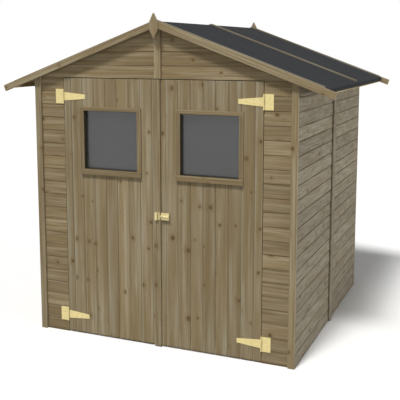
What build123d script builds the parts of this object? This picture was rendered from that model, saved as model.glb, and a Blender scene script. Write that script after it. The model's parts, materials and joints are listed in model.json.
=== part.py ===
from build123d import *
import os
from math import cos, radians, sin, tan

# Wooden garden shed with an apex roof and double doors. Millimetres, +Z up. The doors face -Y.
# The origin is on the ground, in the middle of the plan.

os.makedirs("parts", exist_ok=True)

# Overall sizes
width = 1830.0  # over the side cladding
depth = 1830.0  # over the corner strips
wall_height = 1762.5  # outer top edge of a side wall
roof_pitch = 20.2  # degrees
eave_overhang = 169.0  # felt's outer face beyond the side cladding
verge_overhang = 17.0  # roof deck beyond the corner strips

# Walls
cladding = 18.0  # lapped boards, over their thickest line
frame_depth = 28.0  # framing battens, across the wall
stud = 44.0  # framing battens, along the wall
strip_thick = 16.0
strip_width = 44.0
side_strip_width = 50.0
fit = 0.2  # between neighbouring battens

# Floor
bearer_width = 44.0
bearer_height = 38.0
bearer_count = 5
floor_thick = 12.0

# Roof
deck_thick = 10.0
felt_thick = 3.0
eave_batten_width = 28.0
eave_batten_height = 20.0  # at its outer face
purlin_width = 28.0
purlin_height = 44.0
felt_batten_width = 28.0
felt_batten_thick = 9.0
felt_batten_setback = 19.0  # from the eave
barge_depth = 42.0
barge_thick = 18.0
barge_rise = 4.5  # over the felt
barge_run_on = 61.0  # past the eave
finial_width = 54.0
finial_thick = 18.0
finial_height = 156.0
finial_straight = 48.0  # upright stretch of its sides
finial_above = 49.5  # tip over the felt's ridge

# Doorway and doors
front_panel = 215.0  # fixed wall each side of the doorway
door_gap = 5.0  # round the doors
meeting_gap = 6.0
meeting_offset = 17.0  # the doors meet this far right of the middle
door_head_drop = 10.5  # door top below the wall height
door_floor_gap = 8.0
board_thick = 12.0
ledge_thick = 22.0
ledge_width = 90.0
ledge_inset = 30.0  # from the leaf's side edges
meeting_strip_width = 48.0

# Windows
window_width = 392.0
window_height = 388.0
window_from_ledge = 16.0  # top ledge to the glazing battens
glazing_batten = 28.0
frame_jamb = 29.0
frame_head = 26.0
frame_sill = 36.0
frame_proud = 12.0
sill_proud = 18.0
glass_thick = 4.0
glass_recess = 31.0  # behind the frame's face
glass_fit = 0.3

# Hinges
hinge_from_top = 122.0
hinge_from_bottom = 117.0
hinge_plate_height = 96.0
hinge_plate_width = 54.0
metal_thick = 3.0
strap_length = 160.0
strap_root = 56.0
strap_tip = 28.0
strap_setback = 3.0  # its root, from the leaf's edge
knuckle_radius = 5.5
knuckle_split = 22.0  # half the height of the strap's knuckle
knuckle_gap = 0.5
pin_radius = 2.5
pin_clearance = 0.3

# Bolt
bolt_height = 880.0
bolt_plate_length = 57.0
bolt_plate_height = 46.0
bolt_plate_thick = 2.5
rod_radius = 4.5
rod_clearance = 1.0
guide_wall = 3.0
guide_length = 5.0
guide_spacing = 9.0
guide_inset = 2.0  # from the plate's end
knob_radius = 2.5
knob_reach = 9.0  # beyond the rod
knob_root = 2.0  # within the rod
keep_width = 18.0  # bridge along the rod
keep_height = 48.0
keep_from_edge = 15.0  # meeting strip's edge to the bridge
keep_base_from_edge = 2.0
keep_slot_depth = 12.0

# Worked out from the sizes above
half_width = width / 2
half_depth = depth / 2
slope = radians(roof_pitch)
wall_in = half_width - cladding  # inner face of the side cladding
frame_in = wall_in - frame_depth
face = half_depth - strip_thick  # outer face of the front and rear cladding
face_in = face - cladding
gable_in = face_in - frame_depth
floor_top = bearer_height + floor_thick
door_top = wall_height - door_head_drop
head = door_top + door_gap
opening = half_width - front_panel
leaf_side = opening - door_gap
eave_out = half_width + eave_overhang
verge = half_depth + verge_overhang
leaf_back = -face + board_thick
ledge_back = leaf_back + ledge_thick
top_hinge = door_top - hinge_from_top
bottom_hinge = door_floor_gap + hinge_from_bottom
window_top = top_hinge - ledge_width / 2 - window_from_ledge - glazing_batten
window_bottom = window_top - window_height
hinge_x = opening - door_gap / 2 + 0.5
hinge_y = -face - knuckle_radius
left_edge = meeting_offset - meeting_gap / 2  # left leaf's meeting edge
right_edge = meeting_offset + meeting_gap / 2
packed_face = -face - strip_thick  # face of the meeting strip and of the bolt's packer
rod_y = packed_face - bolt_plate_thick - rod_clearance - rod_radius


def under(x):
    """Height of the roof deck's underside at x."""
    return wall_height + (half_width - abs(x)) * tan(slope)


def deck_top(x):
    return under(x) + deck_thick / cos(slope)


def felt_top(x):
    return deck_top(x) + felt_thick / cos(slope)


def block(x, y, z):
    """Box between two values on each axis."""
    size = [pair[1] - pair[0] for pair in (x, y, z)]
    middle = [(pair[0] + pair[1]) / 2 for pair in (x, y, z)]
    return Pos(*middle) * Box(*size)


def prism(outline, y0, y1):
    """Outline in X and Z, carried from y0 to y1."""
    edge = Polyline(*[(x, y0, z) for x, z in outline], close=True)
    return extrude(make_face(edge), amount=y1 - y0, dir=(0, 1, 0))


def flipped(piece):
    return mirror(piece, about=Plane.YZ)


def turned_back(piece):
    return mirror(piece, about=Plane.XZ)


def both_sides(piece):
    return [flipped(piece), piece]


parts = {}


def keep_part(name, *pieces):
    """Files one node, made of one or more separate solids."""
    solids = [solid for piece in pieces for solid in piece.solids()]
    parts[name] = solids[0] if len(solids) == 1 else Compound(solids)


def make_floor():
    keep_part("floor_deck", block((-wall_in, wall_in), (-face_in, face_in), (bearer_height, floor_top)))
    pitch = (2 * wall_in - bearer_width) / (bearer_count - 1)
    bearers = []
    for i in range(bearer_count):
        x = -wall_in + i * pitch
        bearers.append(block((x, x + bearer_width), (-face_in, face_in), (0, bearer_height)))
    keep_part("floor_bearers", *bearers)


def make_front_wall():
    beside = block((opening, wall_in), (-face, -face_in), (0, head))
    keep_part("front_wall_left", flipped(beside))
    keep_part("front_wall_right", beside)
    gable = [(-wall_in, head), (wall_in, head), (wall_in, under(wall_in))]
    gable += [(0, under(0)), (-wall_in, under(wall_in))]
    keep_part("front_gable", prism(gable, -face, -face_in))


def make_rear_wall():
    half = [(fit / 2, 0), (wall_in, 0), (wall_in, under(wall_in)), (fit / 2, under(fit / 2))]
    right = prism(half, face_in, face)
    keep_part("rear_wall_left", flipped(right))
    keep_part("rear_wall_right", right)


def make_side_walls():
    section = [(wall_in, 0), (half_width, 0), (half_width, under(half_width)), (wall_in, under(wall_in))]
    front = prism(section, -face, -fit / 2)
    rear = prism(section, fit / 2, face)
    keep_part("left_wall_front", flipped(front))
    keep_part("left_wall_rear", flipped(rear))
    keep_part("right_wall_front", front)
    keep_part("right_wall_rear", rear)


def upper_frame(y0, y1):
    """Head rail, two rafters and king post, behind a gable."""
    rail_top = head + stud
    reach = half_width - (rail_top - wall_height) / tan(slope)  # where the rail's top meets the roof
    rail = [(-wall_in, head), (wall_in, head), (wall_in, under(wall_in)), (reach, rail_top)]
    rail += [(-reach, rail_top), (-wall_in, under(wall_in))]
    post = stud / 2
    foot = rail_top + fit
    drop = stud / cos(slope)
    outer = reach - fit / tan(slope)
    inner = outer - drop / tan(slope)
    x = post + fit
    rafter = prism([(x, under(x)), (outer, foot), (inner, foot), (x, under(x) - drop)], y0, y1)
    king = [(-post, foot), (post, foot), (post, under(post)), (0, under(0)), (-post, under(post))]
    return [prism(rail, y0, y1), *both_sides(rafter), prism(king, y0, y1)]


def make_front_frame():
    y = (-face_in, -gable_in)
    rail_top = floor_top + frame_depth
    rail = block((opening, wall_in), y, (floor_top, rail_top))
    upright = (rail_top + fit, head - fit)
    corner = block((wall_in - stud, wall_in), y, upright)
    post = block((opening, opening + stud), y, upright)
    pieces = [*both_sides(rail), *both_sides(corner), *both_sides(post)]
    keep_part("front_frame", *pieces, *upper_frame(*y))


def make_rear_frame():
    y = (gable_in, face_in)
    rail_top = floor_top + frame_depth
    upright = (rail_top + fit, head - fit)
    corner = block((wall_in - stud, wall_in), y, upright)
    between = block((wall_in / 2 - stud / 2, wall_in / 2 + stud / 2), y, upright)
    middle = block((-stud / 2, stud / 2), y, upright)
    rail = block((-wall_in, wall_in), y, (floor_top, rail_top))
    keep_part("rear_frame", rail, middle, *both_sides(corner), *both_sides(between), *upper_frame(*y))


def side_frame():
    """Two framed panels, front and rear, of the right-hand wall."""
    x = (frame_in, wall_in)
    rail_top = floor_top + frame_depth
    plate = under(wall_in) - stud
    start = -gable_in + fit
    end = -fit
    studs = [start, (start + end - stud) / 2, end - stud]
    top = [(frame_in, plate), (wall_in, plate), (wall_in, under(wall_in)), (frame_in, under(frame_in))]
    panel = [block(x, (start, end), (floor_top, rail_top)), prism(top, start, end)]
    for y in studs:
        panel.append(block(x, (y, y + stud), (rail_top + fit, plate - fit)))
    return panel + [turned_back(piece) for piece in panel]


def make_side_frames():
    right = side_frame()
    keep_part("left_frame", *[flipped(piece) for piece in right])
    keep_part("right_frame", *right)


def make_strips():
    x = half_width - strip_width
    section = [(x, 0), (half_width, 0), (half_width, under(half_width)), (x, under(x))]
    corner = prism(section, -half_depth, -face)
    keep_part("corner_strips", *both_sides(corner), *both_sides(turned_back(corner)))
    w = strip_width / 2
    point = [(w, under(w)), (0, under(0)), (-w, under(w))]
    keep_part("front_gable_strip", prism([(-w, head), (w, head), *point], -half_depth, -face))
    keep_part("rear_middle_strip", prism([(-w, 0), (w, 0), *point], face, half_depth))
    out = half_width + strip_thick
    side = [(half_width, 0), (out, 0), (out, under(out)), (half_width, under(half_width))]
    keep_part("side_wall_strips", *both_sides(prism(side, -side_strip_width / 2, side_strip_width / 2)))


def make_roof_deck():
    out = eave_out - felt_thick
    x = fit / 2
    section = [(x, under(x)), (out, under(out)), (out, deck_top(out)), (x, deck_top(x))]
    front = prism(section, -verge, -fit / 2)
    rear = turned_back(front)
    keep_part("roof_deck_left", flipped(front), flipped(rear))
    keep_part("roof_deck_right", front, rear)


def eave_line():
    """Underside of the eave batten and of the felt turned down over it."""
    return under(eave_out - felt_thick) - eave_batten_height


def make_felt():
    out = eave_out - felt_thick
    x = fit / 2
    section = [(x, deck_top(x)), (out, deck_top(out)), (out, eave_line()), (eave_out, eave_line())]
    section += [(eave_out, felt_top(eave_out)), (x, felt_top(x))]
    right = prism(section, -verge, verge)
    keep_part("roof_felt_left", flipped(right))
    keep_part("roof_felt_right", right)


def make_roof_timbers():
    out = eave_out - felt_thick
    x = out - eave_batten_width
    section = [(x, eave_line()), (out, eave_line()), (out, under(out)), (x, under(x))]
    keep_part("eave_battens", *both_sides(prism(section, -verge, verge)))
    pieces = []
    for x in (fit, frame_in / 2):
        far = x + purlin_width
        foot = under(far) - purlin_height
        section = [(x, foot), (far, foot), (far, under(far)), (x, under(x))]
        pieces += both_sides(prism(section, -gable_in, gable_in))
    keep_part("roof_purlins", *pieces)


def make_felt_battens():
    start = fit / 2
    end = eave_out - felt_batten_setback
    up = (felt_batten_thick * sin(slope), felt_batten_thick * cos(slope))
    section = [(start, felt_top(start)), (end, felt_top(end))]
    section += [(end + up[0], felt_top(end) + up[1]), (start + up[0], felt_top(start) + up[1])]
    w = felt_batten_width
    runs = [(-verge, -verge + w), (-w / 2, w / 2), (verge - w, verge)]
    right = [prism(section, *run) for run in runs]
    keep_part("felt_battens", *[flipped(batten) for batten in right], *right)


def make_barge_boards():
    start = fit / 2
    tip = eave_out + barge_run_on
    top = [(start, felt_top(start) + barge_rise), (tip, felt_top(tip) + barge_rise)]
    cut = (tip - barge_depth * sin(slope), felt_top(tip) + barge_rise - barge_depth * cos(slope))
    section = [*top, cut, (start, felt_top(start) + barge_rise - barge_depth / cos(slope))]
    right = prism(section, -verge - barge_thick, -verge)
    keep_part("barge_boards", *both_sides(right), *both_sides(turned_back(right)))


def make_finials():
    w = finial_width / 2
    tip = felt_top(0) + finial_above
    point = (finial_height - finial_straight) / 2
    shoulder = tip - point
    waist = shoulder - finial_straight
    outline = [(0, tip), (w, shoulder), (w, waist), (0, waist - point), (-w, waist), (-w, shoulder)]
    y = -verge - barge_thick
    finial = prism(outline, y - finial_thick, y)
    keep_part("finials", finial, turned_back(finial))


def upright_rod(radius, z0, z1):
    return Pos(hinge_x, hinge_y, (z0 + z1) / 2) * Cylinder(radius, z1 - z0)


def hinge_plate(z):
    """Fixed half of a right-hand T hinge, with its pin."""
    half = hinge_plate_height / 2
    clear = knuckle_split + knuckle_gap
    y = (-face - metal_thick, -face)
    inner = hinge_x + knuckle_radius + knuckle_gap
    plate = block((inner, inner + hinge_plate_width), y, (z - half, z + half))
    pin = upright_rod(pin_radius, z - half, z + half)
    hinge = plate + pin
    for z0, z1 in ((z - half, z - clear), (z + clear, z + half)):
        hinge += block((hinge_x, inner), y, (z0, z1))
        hinge += upright_rod(knuckle_radius, z0, z1)
    return hinge


def hinge_strap(z):
    """Moving half of a right-hand T hinge: a knuckle and a tapered strap."""
    y = -face - metal_thick
    end = leaf_side - strap_length
    root = leaf_side - strap_setback
    outline = [(root, z + strap_root / 2), (end, z + strap_tip / 2)]
    outline += [(end, z - strap_tip / 2), (root, z - strap_root / 2)]
    strap = prism(outline, y, -face)
    strap += block((root - 1, hinge_x), (y, -face), (z - knuckle_split, z + knuckle_split))
    strap += upright_rod(knuckle_radius, z - knuckle_split, z + knuckle_split)
    return strap - upright_rod(pin_radius + pin_clearance, z - strap_root, z + strap_root)


def make_hinges():
    heights = (bottom_hinge, top_hinge)
    plates = [hinge_plate(z) for z in heights]
    straps = [hinge_strap(z) for z in heights]
    keep_part("hinge_plates", *[flipped(plate) for plate in plates], *plates)
    keep_part("left_door_straps", *[flipped(strap) for strap in straps])
    keep_part("right_door_straps", *straps)


def make_door(side, low, high):
    """One leaf between x = low and x = high, with its ledges, brace, window frame and glass."""
    middle = leaf_side / 2 if side == "right" else -leaf_side / 2
    x = (middle - window_width / 2, middle + window_width / 2)
    z = (window_bottom, window_top)
    leaf = block((low, high), (-face, leaf_back), (door_floor_gap, door_top))
    keep_part(side + "_door_leaf", leaf - block(x, (-face - 1, leaf_back + 1), z))

    y = (leaf_back, ledge_back)
    ends = (low + ledge_inset, high - ledge_inset)
    levels = [level - ledge_width / 2 for level in (bottom_hinge, bolt_height, top_hinge)]
    ledges = [block(ends, y, (level, level + ledge_width)) for level in levels]
    foot = levels[0] + ledge_width + fit
    crown = levels[1] - fit
    hinge_end, free_end = ends if side == "left" else ends[::-1]
    across = ledge_width if side == "left" else -ledge_width
    brace = [(hinge_end, foot), (hinge_end + across, foot), (free_end, crown), (free_end - across, crown)]
    b = glazing_batten
    wide = (x[0] - b, x[1] + b)
    ring = [block(wide, y, (z[1], z[1] + b)), block(wide, y, (z[0] - b, z[0]))]
    ring.append(block((x[0] - b, x[0]), y, (z[0] + fit, z[1] - fit)))
    ring.append(block((x[1], x[1] + b), y, (z[0] + fit, z[1] - fit)))
    keep_part(side + "_door_framing", *ledges, prism(brace, *y), *ring)

    j = frame_jamb
    wide = (x[0] - j, x[1] + j)
    y = (-face - frame_proud, -face)
    bars = [block(wide, y, (z[1], z[1] + frame_head))]
    bars.append(block(wide, (-face - sill_proud, -face), (z[0] - frame_sill, z[0])))
    bars.append(block((x[0] - j, x[0]), y, (z[0] + fit, z[1] - fit)))
    bars.append(block((x[1], x[1] + j), y, (z[0] + fit, z[1] - fit)))
    keep_part(side + "_window_frame", *bars)

    front = -face - frame_proud + glass_recess
    pane_x = (x[0] + glass_fit, x[1] - glass_fit)
    pane_z = (z[0] + glass_fit, z[1] - glass_fit)
    keep_part(side + "_window_glass", block(pane_x, (front, front + glass_thick), pane_z))


def lengthwise_rod(radius, x0, x1):
    return Pos((x0 + x1) / 2, rod_y, bolt_height) * Rot(0, 90, 0) * Cylinder(radius, x1 - x0)


def make_bolt():
    low = right_edge
    high = low + bolt_plate_length
    half = bolt_plate_height / 2
    z = (bolt_height - half, bolt_height + half)
    keep_part("bolt_packer", block((low, high), (packed_face, -face), z))

    plate_face = packed_face - bolt_plate_thick
    plate = block((low, high), (plate_face, packed_face), z)
    bore = rod_radius + pin_clearance
    outer = bore + guide_wall
    for i in range(2):
        x0 = low + guide_inset + i * guide_spacing
        x1 = x0 + guide_length
        plate += block((x0, x1), (rod_y, plate_face), (bolt_height - outer, bolt_height + outer))
        plate += lengthwise_rod(outer, x0, x1)
    plate -= lengthwise_rod(bore, low - 1, high + 1)
    keep_part("bolt_plate", plate)

    rod = lengthwise_rod(rod_radius, low, high)
    knob_y = rod_y - rod_radius + (knob_root - knob_reach) / 2
    knob = Rot(90, 0, 0) * Cylinder(knob_radius, knob_reach + knob_root)
    rod += Pos(high - knob_radius, knob_y, bolt_height) * knob
    keep_part("bolt_rod", rod)

    strip_x = (left_edge - meeting_strip_width, left_edge)
    keep_part("meeting_strip", block(strip_x, (packed_face, -face), (door_floor_gap, door_top)))
    half = keep_height / 2
    x1 = left_edge - keep_from_edge
    x = (x1 - keep_width, x1)
    wall = bolt_plate_thick
    slot_face = plate_face - keep_slot_depth
    keep = block(x, (slot_face - wall, packed_face), (bolt_height - half, bolt_height + half))
    slot_half = half - wall
    slot_x = (x[0] - 1, x[1] + 1)
    keep -= block(slot_x, (slot_face, plate_face), (bolt_height - slot_half, bolt_height + slot_half))
    base_x = (x[0], left_edge - keep_base_from_edge)
    keep_part("bolt_keep", keep + block(base_x, (plate_face, packed_face), z))


make_floor()
make_front_wall()
make_rear_wall()
make_side_walls()
make_front_frame()
make_rear_frame()
make_side_frames()
make_strips()
make_roof_deck()
make_felt()
make_roof_timbers()
make_felt_battens()
make_barge_boards()
make_finials()
make_hinges()
make_door("left", -leaf_side, left_edge)
make_door("right", right_edge, leaf_side)
make_bolt()

for name, shape in parts.items():
    export_step(shape, f"parts/{name}.step")
print(len(parts), "parts written")
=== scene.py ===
import json
import math
import random
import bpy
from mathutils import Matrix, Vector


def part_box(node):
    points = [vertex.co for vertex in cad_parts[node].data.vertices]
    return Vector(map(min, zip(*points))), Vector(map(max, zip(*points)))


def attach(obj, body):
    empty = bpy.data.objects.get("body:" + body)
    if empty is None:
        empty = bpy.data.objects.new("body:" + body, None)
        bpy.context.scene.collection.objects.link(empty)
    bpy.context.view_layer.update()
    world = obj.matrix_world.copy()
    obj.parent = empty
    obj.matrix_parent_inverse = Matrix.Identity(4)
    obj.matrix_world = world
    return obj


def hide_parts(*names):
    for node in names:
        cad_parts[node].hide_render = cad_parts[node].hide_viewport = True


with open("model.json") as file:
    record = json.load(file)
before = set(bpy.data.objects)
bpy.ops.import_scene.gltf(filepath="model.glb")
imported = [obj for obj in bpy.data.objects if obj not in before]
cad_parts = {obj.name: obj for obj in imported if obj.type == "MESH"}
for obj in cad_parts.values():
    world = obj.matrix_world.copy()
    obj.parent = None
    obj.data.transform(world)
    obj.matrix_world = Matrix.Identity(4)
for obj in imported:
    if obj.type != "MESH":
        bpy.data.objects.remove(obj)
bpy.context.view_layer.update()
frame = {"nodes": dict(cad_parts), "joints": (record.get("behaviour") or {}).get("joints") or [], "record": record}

from types import SimpleNamespace

import bmesh
import bpy
from mathutils import Matrix, Vector

record = frame["record"]
bodyOf = {node: body for body, nodes in record["behaviour"]["bodies"].items() for node in nodes}


class Wire:
    # A node's output that a sum can be written with, such as (pitch + lap) * 0.5.
    def __init__(self, socket):
        self.socket = socket

    def __add__(self, other):
        return calc("ADD", self, other)

    def __radd__(self, other):
        return calc("ADD", other, self)

    def __sub__(self, other):
        return calc("SUBTRACT", self, other)

    def __rsub__(self, other):
        return calc("SUBTRACT", other, self)

    def __mul__(self, other):
        return calc("MULTIPLY", self, other)

    def __truediv__(self, other):
        return calc("DIVIDE", self, other)


def treeOf(*values):
    return next(value.socket.id_data for value in values if isinstance(value, Wire))


def feed(value, socket):
    # Wires an output in, or sets a plain value.
    if isinstance(value, Wire):
        socket.id_data.links.new(value.socket, socket)
    else:
        socket.default_value = value


def put(tree, kind, links=None, **settings):
    node = tree.nodes.new(kind)
    for key, value in settings.items():
        setattr(node, key, value)
    for key, value in (links or {}).items():
        feed(value, node.inputs[key])
    return node


def source(tree, kind, output=0, links=None, **settings):
    return Wire(put(tree, kind, links, **settings).outputs[output])


def take(kind, links, output=0, **settings):
    # The output of a node in the tree that its links come from.
    return source(treeOf(*links.values()), kind, output, links, **settings)


def calc(operation, *values, clamp=False):
    links = dict(enumerate(values))
    return take("ShaderNodeMath", links, operation=operation, use_clamp=clamp)


def above(value, limit):
    return calc("GREATER_THAN", value, limit)


def below(value, limit):
    return calc("LESS_THAN", value, limit)


def held(value, low, high):
    return calc("MINIMUM", calc("MAXIMUM", value, low), high)


def splitVector(vector):
    return [Wire(socket) for socket in put(treeOf(vector), "ShaderNodeSeparateXYZ", {0: vector}).outputs]


def joinVector(x, y, z):
    return take("ShaderNodeCombineXYZ", {0: x, 1: y, 2: z})


def vectorCalc(operation, first, second):
    return take("ShaderNodeVectorMath", {0: first, 1: second}, operation=operation)


def noise(place, scale, detail, roughness=0.5, distortion=0.0, output=0):
    links = {
        "Vector": place, "Scale": scale, "Detail": detail, "Roughness": roughness, "Distortion": distortion}
    return take("ShaderNodeTexNoise", links, output)


def blendColor(factor, first, second, how="MIX"):
    links = {0: factor, 6: first, 7: second}
    return take("ShaderNodeMix", links, 2, data_type="RGBA", blend_type=how)


def ramp(value, low, high, toLow=0.0, toHigh=1.0, smooth=True):
    links = {0: value, 1: low, 2: high, 3: toLow, 4: toHigh}
    how = "SMOOTHSTEP" if smooth else "LINEAR"
    return take("ShaderNodeMapRange", links, interpolation_type=how)


def bump(height, strength, distance):
    links = {"Height": height, "Strength": strength, "Distance": distance}
    return take("ShaderNodeBump", links)


def newGroup(name, kind, inputs, outputs):
    # Sockets are given as names by their kind, such as Float="pitch lap".
    tree = bpy.data.node_groups.new(name, kind)
    for side, kinds in (("INPUT", inputs), ("OUTPUT", outputs)):
        for socket, labels in kinds.items():
            for label in labels.split():
                tree.interface.new_socket(name=label, in_out=side, socket_type="NodeSocket" + socket)
    given = {socket.name: Wire(socket) for socket in tree.nodes.new("NodeGroupInput").outputs if socket.name}
    return tree, SimpleNamespace(**given), tree.nodes.new("NodeGroupOutput").inputs


def newRule(name, **inputs):
    # A rule that makes geometry and gives it a finish.
    inputs = dict(Geometry="geometry", Material="finish", **inputs)
    return newGroup(name, "GeometryNodeTree", inputs, dict(Geometry="geometry"))


def useGroup(group, values):
    # Feeds each of the group's inputs from the value of the same name.
    node = put(treeOf(*values.values()), "ShaderNodeGroup", node_tree=group)
    for socket in node.inputs:
        feed(values[socket.name], socket)
    return SimpleNamespace(**{socket.name: Wire(socket) for socket in node.outputs})


def toLinear(red, green, blue):
    steps = [value / 255 for value in (red, green, blue)]
    return [v / 12.92 if v <= 0.04045 else ((v + 0.055) / 1.055) ** 2.4 for v in steps] + [1.0]


timberPattern = dict(
    cellLong=0.26, cellWide=0.086, stretch=0.22, small=0.006, large=0.0175,
    flow=-0.75, uneven=0.5, faintest=0.65,
    fineRun=9.0, fine=420.0, stainRun=2.1, stain=16.0, paler=0.12)


def makeTimberGroup():
    # The Grain vector is in metres: along the board, across its face, and through it.
    tree, given, out = newGroup(
        "timberGrain", "ShaderNodeTree",
        dict(Vector="grain", Color="light body dark brown knot", Float="tone knots streaks run fibre washed"),
        dict(Color="color", Float="height mask"))
    look = timberPattern
    along, across, deep = splitVector(given.grain)
    tone = given.tone

    cell = joinVector(along / look["cellLong"] + tone * 37.0, across / look["cellWide"] + tone * 11.0, 0.0)
    links = {"Vector": cell, "Scale": 1.0, "Randomness": 0.8}
    knots = put(tree, "ShaderNodeTexVoronoi", links, voronoi_dimensions="2D").outputs
    away = vectorCalc("SUBTRACT", cell, Wire(knots["Position"]))
    away = vectorCalc("MULTIPLY", away, (look["stretch"], look["cellWide"], 0.0))
    reach = take("ShaderNodeVectorMath", {0: away}, "Value", operation="LENGTH")
    chance, spread, depth = splitVector(Wire(knots["Color"]))
    present = below(chance, given.knots) * ramp(depth, 0.0, 1.0, look["faintest"], 1.0, smooth=False)
    reach = reach * (1.0 + (noise(given.grain, 110.0, 1.0) - 0.5) * look["uneven"] * 2.0)
    ratio = reach / ramp(spread, 0.0, 1.0, look["small"], look["large"], smooth=False)
    core = ramp(ratio, 0.3, 1.3, 1.0, 0.0) * present
    halo = ramp(ratio, 0.6, 3.4, 1.0, 0.0) * present

    bent = across + splitVector(away)[1] * halo * look["flow"]  # the grain flows round a knot
    shift = tone * 53.7
    long, wide = given.run, given.streaks
    streaks = noise(joinVector(along * long + shift, bent * wide + shift, deep * wide), 1.0, 3.0, 0.55, 0.25)
    long, wide = look["fineRun"], look["fine"]
    fine = noise(joinVector(along * long, bent * wide + shift, deep * wide), 1.0, 2.0, 0.6)
    long, wide = look["stainRun"], look["stain"]
    stain = noise(joinVector(along * long + shift, across * wide + shift, deep * wide), 1.0, 1.0)

    color = blendColor(ramp(streaks, 0.34, 0.52), given.dark, given.body)
    color = blendColor(ramp(streaks, 0.5, 0.68), color, given.light)
    color = blendColor(ramp(stain, 0.46, 0.68, 0.0, 0.6), color, given.brown)
    color = blendColor(ramp(stain, 0.34, 0.46, 1.0, 0.0) * given.washed, color, given.light)
    color = blendColor(halo * 0.55, color, given.brown)
    fibre = ramp(fine, 0.3, 0.7, 1.0 - given.fibre, 1.0 + given.fibre)
    lottery = calc("FRACT", tone * 7.31)  # some boards are paler
    gain = fibre * ramp(lottery, 0.0, 1.0, 1.0 - look["paler"], 1.0 + look["paler"], smooth=False)
    color = blendColor(1.0, color, joinVector(gain, gain, gain), "MULTIPLY")
    feed(blendColor(core * 0.9, color, given.knot), out["color"])
    feed(fine * 0.45 + streaks * 0.55 + core * 0.25, out["height"])
    feed(core, out["mask"])
    return tree


weatherAndFootShadePattern = dict(
    patches=2.6, dampFrom=0.04, dampTo=0.3, damp=0.55, inPatches=0.35, footShadeFrom=0.008, footShadeTo=0.024)
wearPattern = dict(patches=34.0, least=0.25)


def makeWeatherAndFootShadeGroup():
    # Darker and greener towards the ground and in broad patches, with a painted shade line along the very foot.
    tree, given, out = newGroup(
        "weatheringAndFootShade", "ShaderNodeTree",
        dict(Vector="place", Color="color damp soil", Float="amount splash"),
        dict(Color="color", Float="mask"))
    look = weatherAndFootShadePattern
    patches = noise(given.place, look["patches"], 3.0, 0.6)
    height = splitVector(given.place)[2]
    low = ramp(height + patches * 0.12, look["dampFrom"], look["dampTo"], look["damp"], 0.0)
    # painted shade: a dark line along the very foot, where the boards meet the ground
    splash = ramp(height + patches * 0.008, look["footShadeFrom"], look["footShadeTo"], 1.0, 0.0) * given.splash
    wide = ramp(patches, 0.42, 0.7, 0.0, look["inPatches"])
    mask = calc("MULTIPLY", calc("MAXIMUM", low, wide), given.amount, clamp=True)
    feed(blendColor(splash, blendColor(mask, given.color, given.damp), given.soil), out["color"])
    feed(mask, out["mask"])
    return tree


def makeWearGroup():
    # Paler, rubbed arrises where a piece carries the "wear" mark.
    tree, given, out = newGroup(
        "edgeWear", "ShaderNodeTree",
        dict(Vector="place", Color="color rubbed", Float="wear amount"), dict(Color="color", Float="mask"))
    patches = ramp(noise(given.place, wearPattern["patches"], 3.0, 0.6), 0.36, 0.6, wearPattern["least"], 1.0)
    mask = given.wear * patches * given.amount
    feed(blendColor(mask, given.color, given.rubbed), out["color"])
    feed(mask, out["mask"])
    return tree


timberGroup = makeTimberGroup()
weatherAndFootShadeGroup = makeWeatherAndFootShadeGroup()
wearGroup = makeWearGroup()


def newFinish(name):
    material = bpy.data.materials.new(name)
    material.use_nodes = True
    return material, source(material.node_tree, "ShaderNodeTexCoord", "Object")


def dressed(material, values):
    for label, value in values.items():
        feed(value, material.node_tree.nodes["Principled BSDF"].inputs[label])
    return material


def shadesOf(look):
    return {label: toLinear(*value) for label, value in look.items() if isinstance(value, tuple)}


def markOf(place, name, output="Fac"):
    # What a piece's own attribute says.
    return source(treeOf(place), "ShaderNodeAttribute", output, attribute_name=name)


def rubEdges(place, color, look, base):
    rubbed = toLinear(*[min(255, value * look["lift"]) for value in base])
    return useGroup(wearGroup, dict(
        place=place, wear=markOf(place, "wear"), color=color, rubbed=rubbed, amount=look["rub"]))


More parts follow.
